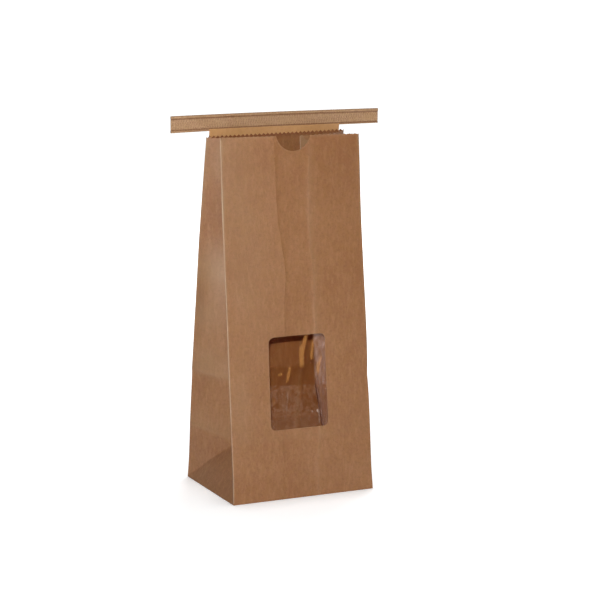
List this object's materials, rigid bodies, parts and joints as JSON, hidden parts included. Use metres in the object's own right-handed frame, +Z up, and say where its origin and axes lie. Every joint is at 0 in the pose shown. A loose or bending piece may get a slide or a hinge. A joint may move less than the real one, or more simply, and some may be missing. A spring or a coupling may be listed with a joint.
{
  "type": "kraft window bag",
  "caption": "Small flat-bottomed kraft paper bag standing open, with side gussets, a clear window in the front, a pinked mouth with a thumb notch, and a tin tie behind the mouth.",
  "frame": {"origin": "centre of the base, on the surface the bag stands on", "axes": "+Z up the bag to its mouth, -Y out of the front panel with the window, X along the front panel and the tie"},
  "size_m": [0.126, 0.0636, 0.208],
  "materials": {
    "kraft_paper": "natural brown kraft with a faint satin sheen",
    "clear_film": "clear, slightly wrinkled film",
    "carrier_paper": "golden tan, smooth",
    "tie_paper": "tan paper with a fine embossed texture"
  },
  "bodies": {
    "root": {"bag_body": "kraft_paper", "window_film": "clear_film", "carrier_strip": "carrier_paper", "tin_tie": "tie_paper"}
  },
  "joints": []
}
